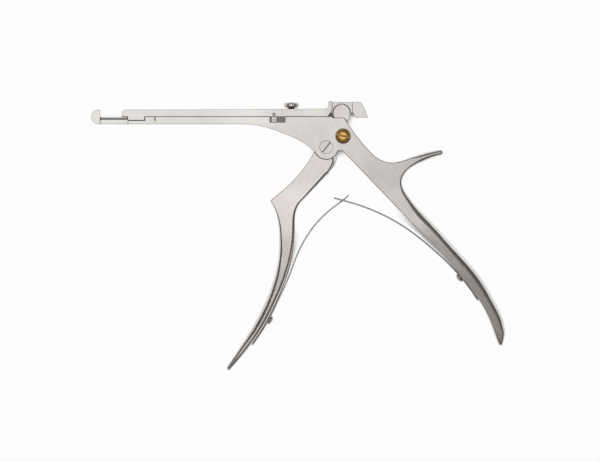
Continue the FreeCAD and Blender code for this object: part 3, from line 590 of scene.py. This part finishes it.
@dataclass
class LeafSpring:
    """A flat spring screwed to one handle, which bends as the handles close."""

    name: str
    node: str
    own_body: str
    far_body: str
    # Middle line of the leaf from its screwed end to its tip, in millimetres from the pivot
    seat: list[tuple[float, float]]
    free: list[tuple[float, float]]
    crossing: tuple[float, float] = (10.3, -32.7)
    width: float = 8.0
    thick: float = 0.9
    # Beyond this X towards the tip the leaf is split: the rear one by a slot, the front one to a tongue
    split_x: tuple[float, float] = (7.6, 13.4)
    split_low_y: float = -45.0
    split_width: float = 3.2
    keeps_middle: bool = False
    # The tip is eased over this length, by this share of the half width
    tip_length: float = 1.5
    tip_share: float = 0.25
    # Least share of the squared half width that the round end keeps
    end_least: float = 0.02
    # Most of the half width that the split takes
    split_share: float = 0.6
    step: float = 1.2
    edge_mm: float = 0.06
    edge_deg: float = 50.0
    sharp_deg: float = 35.0

    def middle_line(self) -> list[Vector]:
        """Work out a smooth line through the leaf's points.

        Returns:
            Points a step apart, in millimetres from the pivot.
        """
        knots = [Vector(point) for point in self.seat + self.free]
        knots = [2 * knots[0] - knots[1], *knots, 2 * knots[-1] - knots[-2]]
        line = []
        for before, start, end, after in zip(knots, knots[1:], knots[2:], knots[3:]):
            count = max(2, round((end - start).length / self.step))
            for n in range(count):
                t = n / count
                bend = 2 * before - 5 * start + 4 * end - after
                sway = 3 * start - before - 3 * end + after
                line.append(start + ((end - before) * t + bend * t**2 + sway * t**3) / 2)
        line.append(knots[-2])
        return line

    def half_width(self, from_start: float, from_tip: float) -> float:
        """Half the leaf's width, which is rounded off at both ends.

        Args:
            from_start: Distance along the leaf from its screwed end, in millimetres.
            from_tip: Distance along the leaf from its tip, in millimetres.

        Returns:
            Half width in millimetres.
        """
        half = self.width / 2
        end_round = max(0.0, 1 - from_start / half)
        tip_round = max(0.0, 1 - from_tip / self.tip_length)
        rounded = half * math.sqrt(max(self.end_least, 1 - end_round**2))
        return rounded * (1 - self.tip_share * tip_round**2)

    def ribbon(self) -> bpy.types.Mesh:
        """Make the leaf's middle surface, three strips of faces wide, with its split left open.

        Returns:
            The mesh, in metres in the frame of the CAD model.
        """
        line = self.middle_line()
        along = [0.0]
        for start, end in zip(line, line[1:]):
            along.append(along[-1] + (end - start).length)
        corners, faces = [], []
        for spot, reach in zip(line, along):
            outer = self.half_width(reach, along[-1] - reach)
            inner = min(self.split_width / 2, self.split_share * outer)
            for z in (-outer, -inner, inner, outer):
                corners.append((PIVOT + Vector((spot.x, spot.y, z))) * MM)
        for row, spot in enumerate(line[:-1]):
            split = self.split_x[0] < spot.x < self.split_x[1] and spot.y > self.split_low_y
            strips = (0, 1, 2)
            if split:
                strips = (1,) if self.keeps_middle else (0, 2)
            for strip in strips:
                first = 4 * row + strip
                faces.append((first, first + 1, first + 5, first + 4))
        mesh = bpy.data.meshes.new(self.name)
        mesh.from_pydata(corners, [], faces)
        return mesh

    def make(self, material: bpy.types.Material) -> None:
        """Build the leaf in place of its CAD node.

        Args:
            material: The spring's finish.
        """
        shell = add_object(self.name + "_shell", self.ribbon())
        thicken = shell.modifiers.new("thickness", "SOLIDIFY")
        thicken.thickness = self.thick * MM
        thicken.offset = 0.0
        rubbed = shell.modifiers.new("rubbed_edges", "BEVEL")
        rubbed.width = self.edge_mm * MM
        rubbed.segments = 2
        rubbed.angle_limit = math.radians(self.edge_deg)
        solid = as_evaluated(shell)
        bpy.data.objects.remove(shell)
        leaf = add_object(self.name, solid)
        for face in solid.polygons:
            face.use_smooth = True
        solid.set_sharp_from_angle(angle=math.radians(self.sharp_deg))
        solid.materials.clear()
        solid.materials.append(material)
        clamp = (PIVOT + Vector((*self.seat[-1], 0.0))) * MM
        middle = (PIVOT + Vector((*self.crossing, 0.0))) * MM
        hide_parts(self.node)
        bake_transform(leaf, self.own_body, self.far_body, start=clamp, end=2 * middle - clamp)
        LOG.info("made %s", self.name)


FRONT_LEAF = LeafSpring(
    name="front_leaf_spring_bent",
    node="front_leaf_spring",
    own_body="front_handle",
    far_body="frame",
    seat=[
        (-46.07, -122.48), (-41.6, -116.26), (-37.78, -110.24), (-34.45, -104.22), (-31.46, -98.2),
        (-28.92, -92.69),
    ],
    free=[
        (-25.2, -84.7), (-22.1, -77.3), (-19.4, -69.8), (-16.2, -62.4), (-12.0, -54.9), (-6.6, -47.5),
        (0.7, -40.1), (10.3, -32.7), (13.9, -29.6),
    ],
    split_x=(8.2, 20.0),
    split_width=2.4,
    keeps_middle=True,
)
REAR_LEAF = LeafSpring(
    name="rear_leaf_spring_bent",
    node="rear_leaf_spring",
    own_body="frame",
    far_body="front_handle",
    seat=[(94.05, -94.85), (91.38, -90.77), (88.52, -86.78), (85.43, -82.79), (82.58, -79.3)],
    free=[
        (76.9, -73.3), (73.2, -69.5), (65.4, -62.6), (60.6, -58.4), (50.7, -50.9), (40.7, -44.7),
        (30.8, -39.8), (20.9, -36.0), (10.3, -32.8), (4.9, -31.4),
    ],
)

# Rubbing by hand leaves a rim smoother than the ground sides, so it mirrors the dark walls of the room
FRAME = RubbedForging(
    node="frame_with_rear_handle",
    body="frame",
    finish=GroundSteel("satin_stainless_frame", Stroke.ALONG_REAR_GRIP),
    band_finish=GroundSteel("satin_stainless_frame_edge", Stroke.ALONG_REAR_GRIP, roughness=0.2),
    start=(11.1, 18.15),
    towards=(19.9, 5.83),
    end=(9.7, -1.92),
    rubs=[
        (11.1, 18.15, 0.3), (19.9, 5.83, 0.45), (32.8, -7.2, 0.5), (50.6, -6.9, 0.8), (60.6, -3.5, 1.9),
        (70.3, -1.5, 1.4), (70.9, -5.0, 1.4), (60.6, -8.7, 2.0), (51.2, -13.7, 1.2), (47.0, -20.8, 1.4),
        (49.9, -28.9, 2.0), (62.8, -43.8, 3.3), (83.5, -66.1, 4.2), (95.9, -81.0, 4.3), (104.7, -95.9, 4.0),
        (109.9, -108.3, 3.2), (110.7, -116.0, 2.0), (109.2, -121.8, 1.0), (106.7, -122.0, 0.9),
        (101.4, -107.8, 0.7), (94.2, -94.2, 0.5), (81.6, -77.4, 0.4), (64.4, -58.6, 0.4), (60.4, -54.6, 0.4),
        (35.0, -28.3, 0.4), (9.7, -1.92, 0.3),
    ],
)
FRONT_HANDLE = RubbedForging(
    node="front_handle",
    body="front_handle",
    finish=GroundSteel("satin_stainless_handle", Stroke.ALONG_FRONT_GRIP, light="#E8E2DF", dark="#D2CBC8"),
    band_finish=GroundSteel(
        "satin_stainless_handle_edge", Stroke.ALONG_FRONT_GRIP, light="#E8E2DF", dark="#D2CBC8",
        roughness=0.2,
    ),
    start=(3.75, -6.62),
    towards=(4.6, -9.0),
    end=(-6.89, -3.21),
    rubs=[
        (3.75, -6.62, 0.6), (2.9, -13.9, 1.4), (0.1, -17.6, 1.8), (-7.0, -25.0, 1.5), (-14.3, -32.5, 1.2),
        (-18.9, -41.0, 1.6), (-19.4, -51.2, 1.7), (-21.0, -66.1, 1.8), (-24.8, -81.0, 2.2),
        (-30.9, -95.9, 2.2), (-38.6, -110.7, 2.0), (-49.1, -125.6, 1.6), (-58.9, -136.9, 0.9),
        (-61.7, -136.4, 0.9), (-54.9, -125.7, 2.0), (-45.5, -110.7, 3.2), (-37.9, -95.9, 3.2),
        (-32.5, -81.0, 2.8), (-29.6, -66.1, 2.3), (-29.3, -52.0, 1.6), (-31.3, -40.1, 0.9),
        (-34.9, -33.1, 0.5), (-21.5, -21.5, 0.5), (-7.7, -3.0, 0.4),
    ],
)


@dataclass
class Studio:
    """Pale table, soft light and the camera above."""

    field_mm: float = 372.0
    centre_mm: tuple[float, float] = (1.0, 3.0)
    lens_mm: float = 200.0
    sensor_mm: float = 36.0
    table_m: float = 12.0
    # How much of the table's look is plain white to the eye, the rest being lit and shaded
    table_white: float = 0.97
    # Painted shade: under narrow gaps an occlusion mask takes away the table's white glow, so it shows dark
    # there
    gap_reach_mm: float = 16.0
    gap_dark: float = 0.22
    gap_open: float = 0.34
    sky_low: float = 0.03
    sky_high: float = 0.315
    softbox_place: tuple[float, float, float] = (-0.09, 0.12, 0.5)
    softbox_side: float = 0.36
    softbox_watts: float = 0.36

    def seen_directly(self, tree: bpy.types.NodeTree) -> bpy.types.NodeSocket:
        """Find whether the eye sees the surface itself, in a reflection or through something.

        Args:
            tree: The tree to add the nodes to.

        Returns:
            A socket that is 1 for such rays and 0 for those that carry light.
        """
        path = add_node(tree, "ShaderNodeLightPath")
        seen = path.outputs["Is Camera Ray"]
        for name in ("Is Glossy Ray", "Is Transmission Ray"):
            either = add_node(tree, "ShaderNodeMath", {0: seen, 1: path.outputs[name]}, operation="MAXIMUM")
            seen = either.outputs[0]
        return seen

    def laminate(self) -> bpy.types.Material:
        """Make the table's matt white laminate, which looks white but under the instrument's narrow gaps,
        where its glow is masked off as painted shade.

        Returns:
            The finished material.
        """
        material = bpy.data.materials.new("matt_white_laminate")
        tree = new_tree(material)
        matt = add_node(tree, "ShaderNodeBsdfDiffuse", {"Color": linear("#F7F6F5")})
        glow = add_node(tree, "ShaderNodeEmission", {"Color": linear("#FFFFFF"), "Strength": 1.0})
        # Painted shade: occlusion by the instrument close above masks off the glow
        cover = add_node(
            tree, "ShaderNodeAmbientOcclusion", {"Distance": self.gap_reach_mm * MM}, samples=24
        )
        open_share = add_node(
            tree, "ShaderNodeMapRange",
            {
                "Value": cover.outputs["AO"], "From Min": self.gap_dark, "From Max": self.gap_open,
                "To Min": 0.0, "To Max": self.table_white,
            },
        )
        share = add_node(
            tree, "ShaderNodeMath", {0: self.seen_directly(tree), 1: open_share.outputs[0]},
            operation="MULTIPLY",
        )
        mixed = add_node(
            tree, "ShaderNodeMixShader", {0: share.outputs[0], 1: matt.outputs[0], 2: glow.outputs[0]}
        )
        add_node(tree, "ShaderNodeOutputMaterial", {"Surface": mixed.outputs[0]})
        return material

    def table(self) -> None:
        """Lay the pale table top, which keeps part of the instrument's shadow."""
        mesh = bpy.data.meshes.new("table_top")
        reach = self.table_m / 2
        corners = [(-reach, -reach, 0), (reach, -reach, 0), (reach, reach, 0), (-reach, reach, 0)]
        mesh.from_pydata(corners, [], [(0, 1, 2, 3)])
        mesh.materials.append(self.laminate())
        add_object("table_top", mesh)

    def sky(self) -> None:
        """Surround the table with a soft light that is strong overhead and weak towards the walls."""
        world = bpy.data.worlds.new("soft_studio")
        bpy.context.scene.world = world
        tree = new_tree(world)
        way = add_node(tree, "ShaderNodeTexCoord").outputs["Generated"]
        height = add_node(tree, "ShaderNodeSeparateXYZ", {0: way}).outputs["Z"]
        rise = add_node(
            tree, "ShaderNodeMapRange",
            {
                "Value": height, "From Min": 0.1, "From Max": 1.0,
                "To Min": self.sky_low, "To Max": self.sky_high,
            },
        )
        light = add_node(
            tree, "ShaderNodeBackground", {"Color": linear("#FFFDFB"), "Strength": rise.outputs[0]}
        )
        white = add_node(tree, "ShaderNodeBackground", {"Color": linear("#FFFFFF"), "Strength": 1.0})
        eye = add_node(tree, "ShaderNodeLightPath").outputs["Is Camera Ray"]
        both = add_node(tree, "ShaderNodeMixShader", {0: eye, 1: light.outputs[0], 2: white.outputs[0]})
        add_node(tree, "ShaderNodeOutputWorld", {"Surface": both.outputs[0]})

    def softbox(self) -> None:
        """Hang a square soft light overhead, which faces the middle of the table."""
        light = bpy.data.lights.new("overhead_softbox", "AREA")
        light.shape = "SQUARE"
        light.size = self.softbox_side
        light.energy = self.softbox_watts
        lamp = add_object(light.name, light)
        lamp.location = self.softbox_place
        lamp.rotation_mode = "QUATERNION"
        lamp.rotation_quaternion = (-Vector(self.softbox_place)).to_track_quat("-Z", "Y")

    def camera(self) -> None:
        """Look straight down with a long lens."""
        data = bpy.data.cameras.new("above")
        data.lens = self.lens_mm
        data.sensor_width = self.sensor_mm
        camera = add_object(data.name, data)
        distance = self.field_mm * self.lens_mm / self.sensor_mm
        camera.location = Vector((*self.centre_mm, distance + PIVOT.z)) * MM
        bpy.context.scene.camera = camera

    def make(self) -> None:
        """Set up the whole studio."""
        self.table()
        self.sky()
        self.softbox()
        self.camera()
        bpy.context.scene.view_settings.view_transform = "Standard"


def rigid_pieces() -> list[RubbedForging | DressedPiece]:
    """List the instrument's rigid pieces with their finishes.

    Returns:
        Every CAD node but the two leaf springs.
    """
    middle = (0.0, 0.0, 0.0)
    stop_axis = (27.65, 61.74, 0.0)
    knob_axis = (-4.3, 0.0, 6.5)
    pin = TurnedMetal("turned_stainless_pin", "#CFCBC6", "#B0ABA6", 0.3, middle)
    knob = TurnedMetal(
        "turned_stainless_knob", "#E4E1DE", "#B7B3AF", 0.18, knob_axis, axis=(0.0, 1.0, 0.0)
    )
    front_screw = TurnedMetal("polished_front_screw", "#CFCBC8", "#8E8A86", 0.2, middle)
    rear_screw = TurnedMetal("polished_rear_screw", "#CFCBC8", "#8E8A86", 0.2, middle)
    # Brass is yellow by its own reflection, and handling leaves it browner in patches
    brass_screw = TurnedMetal("turned_brass_screw", "#EFC377", "#CA9747", 0.2, stop_axis)
    brass_nut = TurnedMetal("turned_brass_nut", "#EFC377", "#CA9747", 0.25, stop_axis)
    return [
        FRAME,
        FRONT_HANDLE,
        DressedPiece("sliding_shaft", GroundSteel("satin_stainless_slide", Stroke.ALONG_SHAFT)),
        DressedPiece("guide_key", GroundSteel("satin_stainless_key", Stroke.ACROSS_SHAFT)),
        DressedPiece(
            "pivot_screw", GroundSteel("satin_stainless_pivot", Stroke.ALONG_REAR_GRIP, edge_mm=0.1)
        ),
        DressedPiece("guide_key_pin", pin),
        DressedPiece("lift_knob", knob),
        DressedPiece("front_spring_screw", front_screw),
        DressedPiece("rear_spring_screw", rear_screw),
        DressedPiece("stop_screw", brass_screw),
        DressedPiece("stop_screw_nut", brass_nut),
    ]


def main() -> None:
    """Build the studio and dress the instrument."""
    logging.basicConfig(level=logging.INFO)
    Studio().make()
    for piece in rigid_pieces():
        piece.make()
    # Hardening and tempering leave spring steel greyer than the forgings, and only coarsely polished
    spring_steel = GroundSteel(
        "hardened_spring_steel", Stroke.ALONG_SHAFT, light="#D5D1CD", dark="#B5B0AC", roughness=0.34
    ).build()
    for leaf in (FRONT_LEAF, REAR_LEAF):
        leaf.make(spring_steel)


if __name__ == "__main__":
    main()
